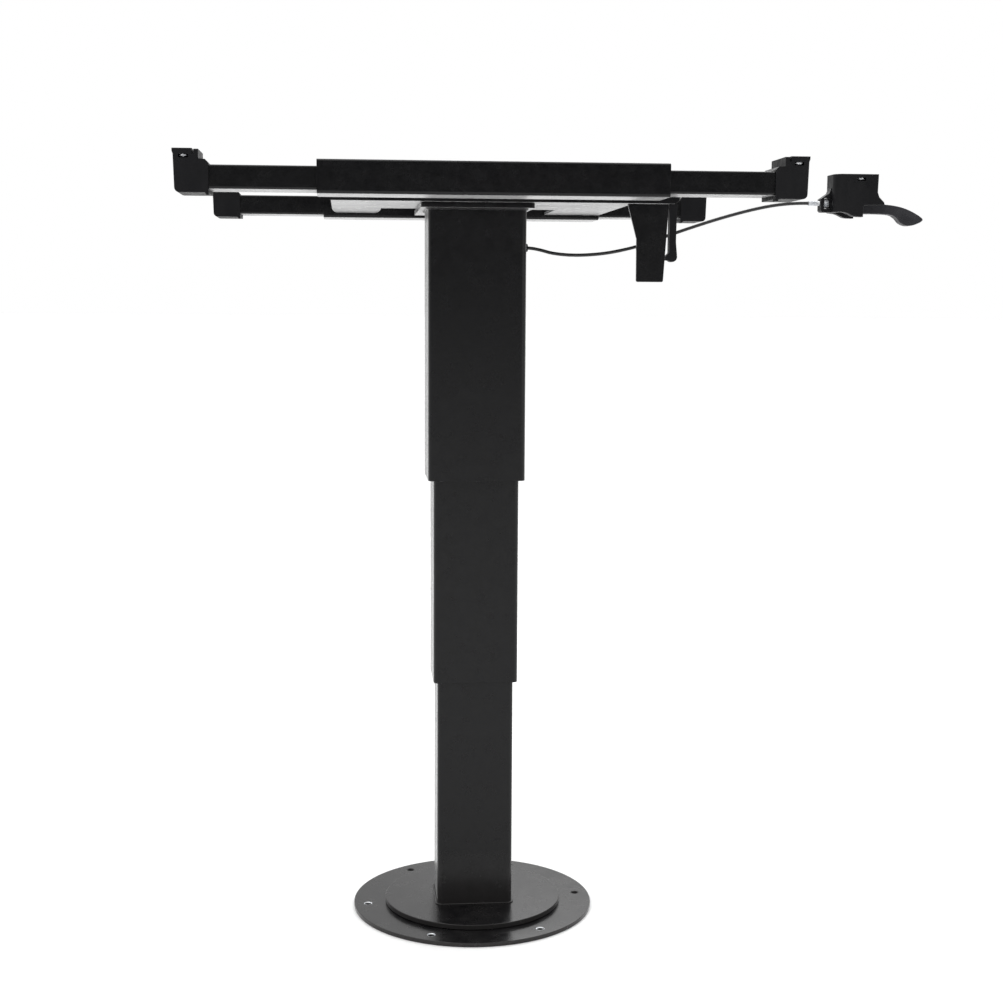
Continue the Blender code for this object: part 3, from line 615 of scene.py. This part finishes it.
def column():
    """The three tubes, the cable's hole in the upper one, and the welds at both ends."""
    corner = {"lower_tube": 0.005, "mid_tube": 0.0055, "upper_tube": 0.006}
    for node, radius in corner.items():
        low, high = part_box(node)
        size = high - low
        outlines = [rounded_rectangle(size.x, size.y, radius),
                    rounded_rectangle(size.x - 2 * TUBE_WALL, size.y - 2 * TUBE_WALL,
                                      radius - TUBE_WALL)]
        tube = prism(node + "_shell", outlines, low.z, high.z, edge=0.0004)
        if node == "upper_tube":
            carve(tube, [rod_shape((high.x, 0, CABLE_HEIGHT), CABLE_HOLE, 0.02, (1, 0, 0))])
        stand_for(tube, node)
    low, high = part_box("lower_tube")
    foot = rounded_rectangle(2 * high.x + 0.0012, 2 * high.y + 0.0012, 0.0055)
    bead = weld_bead("foot_weld", [(x, y, low.z) for x, y in foot], 0.0012)
    add_detail(bead, "base_disc")
    low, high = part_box("upper_tube")
    head = rounded_rectangle(2 * high.x + 0.0010, 2 * high.y + 0.0010, 0.0065)
    bead = weld_bead("head_weld", [(x, y, high.z + 0.0001) for x, y in head], 0.0016)
    add_detail(bead, "head_plate")


# ---------------------------------------------------------------- top frame
BOLTS = [(-0.034, 0.060), (0.034, 0.060)]      # x and y of the head bolts


def head_and_plate():
    """The plate welded on the column and the wider one under the table top."""
    low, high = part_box("head_plate")
    holes = [circle(SCREW_HOLE, place, 32) for place in BOLTS]
    head = rounded_rectangle(high.x - low.x, high.y - low.y, 0.004, (0, (low.y + high.y) / 2))
    stand_for(prism("head_flange", [head] + holes, low.z, high.z), "head_plate")
    low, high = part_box("centre_plate")
    sleeve_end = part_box("front_sleeve")[1].x
    wing_inner, middle_rear, narrowing = 0.088, 0.080, 0.005
    plate = [(low.x, low.y), (sleeve_end, low.y), (sleeve_end, high.y), (wing_inner, high.y),
             (wing_inner, middle_rear), (-wing_inner, middle_rear)]
    plate += taper(-wing_inner - narrowing, high.y, narrowing, 0)
    plate += taper(low.x + narrowing, high.y, narrowing, 90)
    stand_for(prism("top_plate", [plate] + holes, low.z, high.z), "centre_plate")


def taper(x, rear, narrowing, start):
    """A quarter of an ellipse for one rear corner of the left wing; x is its centre."""
    length = 0.080
    return [(x + narrowing * a, rear - length * (1 - b))
            for a, b in arc((0.0, 0.0), 1.0, start, start + 90, 24)]


def head_bolts():
    """Hexagon bolts with a flange under the head, put in from below."""
    for side, (x, y) in zip(("left", "right"), BOLTS):
        node = "head_bolt_" + side
        low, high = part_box(node)
        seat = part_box("head_plate")[0].z - GAP
        hexagon = prism("hexagon", [circle(0.0046, (x, y), 6)], low.z, seat - 0.0008, edge=0.0004)
        washer = lathe("washer", [(0, seat), (0.0052, seat), (0.0055, seat - 0.0004),
                                  (0.0050, seat - 0.0011), (0, seat - 0.0011)], (x, y, 0))
        shank = lathe("shank", [(0, high.z), (0.0026, high.z), (0.003, high.z - 0.0004),
                                (0.003, seat - 0.0002), (0, seat - 0.0002)], (x, y, 0))
        stand_for(join("bolt_" + side, [hexagon, washer, shank]), node)


def cross_members():
    """The two square tubes between the sleeves, welded at both ends."""
    for side in ("left", "right"):
        node = "cross_member_" + side
        low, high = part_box(node)
        centre = ((low.x + high.x) / 2, (low.z + high.z) / 2)
        width, height = high.x - low.x, high.z - low.z
        outlines = [rounded_rectangle(width, height, 0.003, centre),
                    rounded_rectangle(width - 0.003, height - 0.003, 0.0015, centre)]
        stand_for(prism("member_" + side, outlines, low.y, high.y, "XZ", 0.0003), node)
        seam = rounded_rectangle(width + 0.0008, height + 0.0008, 0.0034, centre)
        for row, y in (("front", low.y), ("rear", high.y)):
            bead = weld_bead(f"member_weld_{row}_{side}", [(x, y, z) for x, z in seam], 0.0013)
            add_detail(bead, node)


def sleeve(row):
    """The cross bar's outer tube and its two clamp screws."""
    node = row + "_sleeve"
    low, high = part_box(node)
    y, wall = (low.y + high.y) / 2, 0.0015
    depth, height = high.y - low.y, high.z - low.z
    outlines = [rounded_rectangle(depth, height, 0.0025, (y, SLEEVE_MIDDLE)),
                rounded_rectangle(depth - 2 * wall, height - 2 * wall, 0.0012, (y, SLEEVE_MIDDLE))]
    tube = prism(row + "_bar_sleeve", outlines, low.x, high.x, "YZ", 0.0003)
    holes = [rod_shape((sign * CLAMP_SCREW_X, high.y, SLEEVE_MIDDLE), SCREW_HOLE, 0.01,
                       (0, 1, 0)) for sign in (-1, 1)]
    stand_for(carve(tube, holes), node)
    for side, sign in (("left", -1), ("right", 1)):
        clamp_screw(row + "_" + side, (sign * CLAMP_SCREW_X, y, SLEEVE_MIDDLE))


def clamp_screw(tag, centre):
    """A knurled cap screw with a hexagon socket, pointing into the sleeve."""
    node = "clamp_screw_" + tag
    low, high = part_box(node)
    top, seat, tip = (high.y - centre[1], 0.0260, low.y - centre[1])
    profile = [(0, top), (0.0045, top), (0.0050, top - 0.0004), (0.0052, top - 0.0008, 0.0002),
               (0.0052, seat + 0.0006, 0.0002), (0.0050, seat), (0.0030, seat),
               (0.0030, tip + 0.0005), (0.0025, tip), (0, tip)]
    screw = lathe("cap_screw_" + tag, profile, centre, (0, 1, 0), 96, teeth=24)
    socket = rod_shape((centre[0], high.y, centre[2]), 0.0026, 0.0056, (0, 1, 0), sides=6)
    stand_for(carve(screw, [socket]), node)


def bar(tag):
    """The inner tube that slides in the sleeve."""
    node = "bar_" + tag
    low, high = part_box(node)
    y, wall = (low.y + high.y) / 2, 0.0016
    middle = (low.z + high.z) / 2
    depth, height = high.y - low.y, high.z - low.z
    outlines = [rounded_rectangle(depth, height, 0.0020, (y, middle)),
                rounded_rectangle(depth - 2 * wall, height - 2 * wall, 0.0010, (y, middle))]
    stand_for(prism("inner_bar_" + tag, outlines, low.x, high.x, "YZ", 0.0003), node)


def end_bracket(tag, sign):
    """The moulded cap on a bar's end, with a shallow pocket for the wood screw on each side."""
    node = "end_bracket_" + tag
    low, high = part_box(node)
    y = (low.y + high.y) / 2
    outer = max(abs(low.x), abs(high.x))
    inner = min(abs(low.x), abs(high.x))
    bottom, nib_depth = 0.6905, 0.008
    outline = [(outer, TOP_FACE), (outer, 0.7235), (outer - 0.0008, 0.7215),
               (outer - 0.0016, bottom + 0.0040)]
    outline += arc((outer - 0.0056, bottom + 0.0040), 0.0040, 0, -90, 6)
    outline += [(inner + 0.0031, bottom), (inner + 0.0020, low.z), (inner, low.z),
                (inner, 0.7146), (inner + 0.0027, 0.7174), (inner + 0.0080, 0.7178),
                (inner + 0.0080, TOP_FACE - 0.0006), (inner + 0.0117, TOP_FACE - 0.0006),
                (inner + 0.0117, 0.7215), (inner + 0.0131, 0.7215), (inner + 0.0131, TOP_FACE)]
    outline = [(sign * a, b) for a, b in outline]
    cap = prism("bar_cap_" + tag, [outline], low.y, high.y, "XZ", 0.0006)
    bar_low, bar_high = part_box("bar_" + tag)
    bar_end = max(abs(bar_low.x), abs(bar_high.x))
    reach = sorted((sign * (inner - 0.010), sign * (bar_end + GAP)))
    cutters = [box_shape((reach[0], bar_low.y - GAP, bar_low.z - GAP),
                         (reach[1], bar_high.y + GAP, bar_high.z + GAP))]
    reach = sorted((sign * (inner - 0.010), sign * (inner + 0.0045)))
    cutters.append(box_shape((reach[0], low.y + nib_depth, low.z - 0.01),
                             (reach[1], high.y + 0.01, bottom)))
    screw_x, pocket_low, pocket_high = sign * (outer - 0.0093), 0.7184, 0.7212
    screw_radius, screw_depth = 0.0036, 0.0040
    for side in (-1, 1):
        face = y + side * (high.y - y)
        ends = sorted((face + side * 0.005, face - side * (screw_depth + screw_radius)))
        cutters.append(box_shape((screw_x - 0.0040, ends[0], pocket_low),
                                 (screw_x + 0.0040, ends[1], pocket_high)))
    stand_for(carve(cap, cutters), node)
    for word, side in (("a", -1), ("b", 1)):
        face = y + side * (high.y - y)
        add_detail(table_screw(f"table_screw_{tag}_{word}",
                               (screw_x, face - side * screw_depth, pocket_high)), node,
                   "zinc_plated_steel")


def table_screw(name, seat):
    """The head of a wood screw seen from below: a wide pan with a rounded rim."""
    profile = [(0, 0), (0.0034, 0), (0.0036, -0.0005), (0.0035, -0.0014), (0.0029, -0.0021),
               (0.0014, -0.0024), (0, -0.0025)]
    return lathe(name, profile, seat)


def hanger():
    """The hanging block, its tongue and the strap that is the cable's hook."""
    low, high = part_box("hanger_block")
    radius = 0.0055
    block = [(low.x, high.z), (low.x, low.z)]
    block += arc((high.x - radius, low.z + radius), radius, 270, 360, 12)
    block += [(high.x, high.z)]
    stand_for(prism("hanging_block", [block], low.y, high.y, "XZ", 0.0003), "hanger_block")
    low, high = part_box("hanger_bracket")
    corner = 0.0015
    tongue = [(low.x, high.z), (low.x, 0.6935), (0.1493, 0.6627)]
    tongue += arc((0.1510, low.z + corner), corner, 180, 270, 5)
    tongue += arc((0.1738, low.z + corner), corner, 270, 360, 5)
    tongue += [(0.1778, 0.6627), (high.x, high.z)]
    stand_for(prism("hanging_tongue", [tongue], low.y, high.y, "XZ", 0.0003), "hanger_bracket")
    top = high.z
    low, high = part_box("cable_hook")
    strap = [(high.x - 0.0083, top), (high.x - 0.0083, 0.6900), (0.1808, 0.6860),
             (0.1808, 0.6500), (low.x, 0.6462), (low.x, 0.6430)]
    strap += arc((0.1837, 0.6462), 0.0048, 225, 360, 12)
    strap += [(0.1872, 0.6600), (0.1876, 0.6900), (0.1882, top)]
    stand_for(prism("strap_hook", [strap], low.y, high.y, "XZ", 0.0004), "cable_hook")


# ---------------------------------------------------------------- lever and adjuster
def lever_housing():
    """The moulded body, its narrow lug for the cable, the paddle's slot and one wood screw."""
    low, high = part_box("lever_housing")
    left = 0.3415
    belly = [(0.3330, 0.6905), (0.3480, 0.6902), (0.3540, 0.6888), (0.3600, 0.6862),
             (0.3690, 0.6856)]
    outline = [(left, TOP_FACE), (left, 0.7140), (0.3395, 0.7085), (0.3315, 0.7030),
               (0.3315, 0.6920)]
    outline += [(x, max(z, low.z)) for x, z in smooth_route(belly, 0.0012)]
    outline += [(0.3695, 0.6965), (0.3900, 0.6972), (0.3895, 0.6995), (0.3845, 0.7045),
                (0.3830, 0.7090), (0.3835, TOP_FACE)]
    body = prism("lever_body", [outline], low.y, high.y, "XZ", 0.0010, 3)
    slot_half, window = 0.0115, 0.0052
    pin_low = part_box("lever_pin")[0].y - GAP
    pin_mouth = high.y + 0.01
    cutters = [housing_corner(side, left, high.y - LEVER_Y) for side in (-1, 1)]
    cutters += [
        box_shape((0.3480, LEVER_Y - slot_half, 0.680), (0.4000, LEVER_Y + slot_half, 0.7215)),
        box_shape((0.3345, low.y - 0.01, ADJUSTER_HEIGHT - window),
                  (0.3405, high.y + 0.01, ADJUSTER_HEIGHT + window)),
        rod_shape((0.345, LEVER_Y, ADJUSTER_HEIGHT), 0.0027, 0.04, (1, 0, 0)),
        rod_shape((LEVER_PIVOT[0], (pin_low + pin_mouth) / 2, LEVER_PIVOT[1]), PIN_BORE,
                  pin_mouth - pin_low, (0, 1, 0)),
    ]
    screw_x, screw_depth, pocket_low, pocket_high = 0.3665, 0.0042, 0.7196, 0.7226
    cutters.append(box_shape((screw_x - 0.0042, low.y - 0.01, pocket_low),
                             (screw_x + 0.0042, low.y + screw_depth + 0.0038, pocket_high)))
    stand_for(carve(body, cutters), "lever_housing")
    screw = table_screw("housing_screw", (screw_x, low.y + screw_depth, pocket_high))
    add_detail(screw, "lever_housing", "zinc_plated_steel")


def housing_corner(side, left, half):
    """What is cut off the housing's left end on one side: its corner, and all beside the lug."""
    radius, lug_half = 0.012, 0.0060
    outer, lug = LEVER_Y + side * (half + 0.005), LEVER_Y + side * lug_half
    centre = (left + radius, LEVER_Y + side * (half - radius))
    corner = [(left - 0.02, outer), (left - 0.02, lug), (left, lug)]
    corner += arc(centre, radius, 180, 180 - side * 90, 12)
    corner += [(centre[0], outer)]
    return prism("corner", [corner], 0.68, TOP_FACE + 0.01, edge=0.0001, rounds=0)


def release_lever():
    """Hub, arm and finger blade; the blade's broad faces are dished inside a narrow rim."""
    pivot_x, pivot_z = LEVER_PIVOT
    low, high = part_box("release_lever")
    blade = [(0.3700, 0.6895), (0.3980, 0.6889), (0.4060, 0.6860), (0.4112, 0.6808),
             (0.4180, 0.6783), (0.4258, 0.6796), (0.4328, 0.6842), (0.4250, 0.6902),
             (0.4130, 0.6953), (0.3985, 0.6980), (0.3765, 0.6990)]
    outline = arc((pivot_x, pivot_z), 0.0075, 10, 180, 12)
    outline += [(pivot_x - 0.0105, 0.7000), (pivot_x - 0.0105, 0.6925)]
    outline += [tuple(point) for point in smooth_route(blade, 0.0012)]
    outline += [(pivot_x + 0.0075, 0.7060)]
    lever = prism("paddle", [outline], low.y, high.y, "XZ", 0.0009, 3)
    cutters = [rod_shape((pivot_x, LEVER_Y, pivot_z), PIN_BORE, 0.03, (0, 1, 0))]
    for face, side in ((low.y, -1), (high.y, 1)):
        bpy.ops.mesh.primitive_uv_sphere_add(segments=64, ring_count=40, radius=1.0)
        dish = bpy.context.object
        dish.scale = (0.0152, 0.0060, 0.0068)
        dish.rotation_euler = (0, math.radians(27), 0)
        dish.location = (0.4168, face + side * 0.0040, 0.6872)
        cutters.append(dish)
    stand_for(carve(lever, cutters, 40), "release_lever")


def cable_adjuster():
    """The threaded barrel that holds the jacket's end, and its knurled nut."""
    low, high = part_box("barrel_adjuster")
    centre = (low.x, LEVER_Y, ADJUSTER_HEIGHT)
    jacket, wire, outer, pocket = CABLE_RADIUS + GAP, 0.0010, 0.0024, 0.0060
    profile = [(jacket, 0.0), (outer - 0.0003, 0.0), (outer, 0.0003)]
    pitch, threads = 0.0010, 12
    for k in range(threads):
        start = 0.0008 + k * pitch
        profile += [(outer, start), (outer - 0.00028, start + pitch / 2)]
    profile += [(outer, 0.0130), (outer, 0.0267), (outer - 0.0003, 0.0270), (wire, 0.0270),
                (wire, pocket), (jacket, pocket)]
    stand_for(lathe("adjuster_barrel", profile, centre, (1, 0, 0), 40, closed=True),
              "barrel_adjuster")
    low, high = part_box("adjuster_nut")
    width, radius, bore = high.x - low.x, 0.0047, outer + GAP
    profile = [(bore, 0.0), (radius - 0.0005, 0.0), (radius, 0.0005, 0.0003),
               (radius, width / 2 - 0.0004, 0.0003), (radius - 0.0005, width / 2),
               (radius, width / 2 + 0.0004, 0.0003), (radius, width - 0.0005, 0.0003),
               (radius - 0.0005, width), (bore, width)]
    stand_for(lathe("knurled_nut", profile, (low.x, LEVER_Y, ADJUSTER_HEIGHT), (1, 0, 0), 120,
                    closed=True, teeth=30), "adjuster_nut")


def cable_grommet():
    """The rubber bush where the cable enters the column."""
    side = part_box("upper_tube")[1].x
    bore, neck, flange = CABLE_RADIUS + 2 * GAP, CABLE_HOLE - GAP, 0.0062
    profile = [(bore, 0.0050), (0.0032, 0.0050), (0.0037, 0.0046), (0.0042, 0.0030),
               (flange - 0.0006, 0.0020), (flange, 0.0012), (flange, GAP), (neck, GAP),
               (neck, -TUBE_WALL - GAP), (0.0052, -TUBE_WALL - GAP), (0.0052, -TUBE_WALL - 0.0012),
               (bore, -TUBE_WALL - 0.0012)]
    stand_for(lathe("rubber_grommet", profile, (side, 0, CABLE_HEIGHT), (1, 0, 0), closed=True),
              "cable_grommet")


def return_spring():
    """The torsion spring of the paddle as round wire with its own coils."""
    turns, steps, pitch, coil_radius, wire_radius = 3, 36, 0.00115, 0.0048, 0.0005
    start_y = LEVER_Y + 0.006 + GAP + wire_radius
    last_turn_cut = 10
    points = []
    for k in range(turns * steps - last_turn_cut):
        angle = 2 * math.pi * k / steps
        points.append((LEVER_PIVOT[0] + coil_radius * math.cos(angle),
                       start_y + pitch * k / steps,
                       LEVER_PIVOT[1] + coil_radius * math.sin(angle)))
    stand_for(tube_along("torsion_spring", points, wire_radius), "return_spring")


# ---------------------------------------------------------------- the whole
def carried_over_nodes():
    """What is inside the column, the sleeves and the housing keeps its CAD shape."""
    for node, obj in frame["nodes"].items():
        if not obj.hide_render:
            paint(obj, SLOT_OF[node])


def build():
    make_camera()
    release_cable()
    studio()
    make_floor()
    base()
    column()
    head_and_plate()
    head_bolts()
    cross_members()
    for row in ("front", "rear"):
        sleeve(row)
        for side, sign in (("left", -1), ("right", 1)):
            bar(row + "_" + side)
            end_bracket(row + "_" + side, sign)
    hanger()
    lever_housing()
    release_lever()
    cable_adjuster()
    cable_grommet()
    return_spring()
    carried_over_nodes()
    bpy.context.scene.view_settings.view_transform = "Standard"


build()
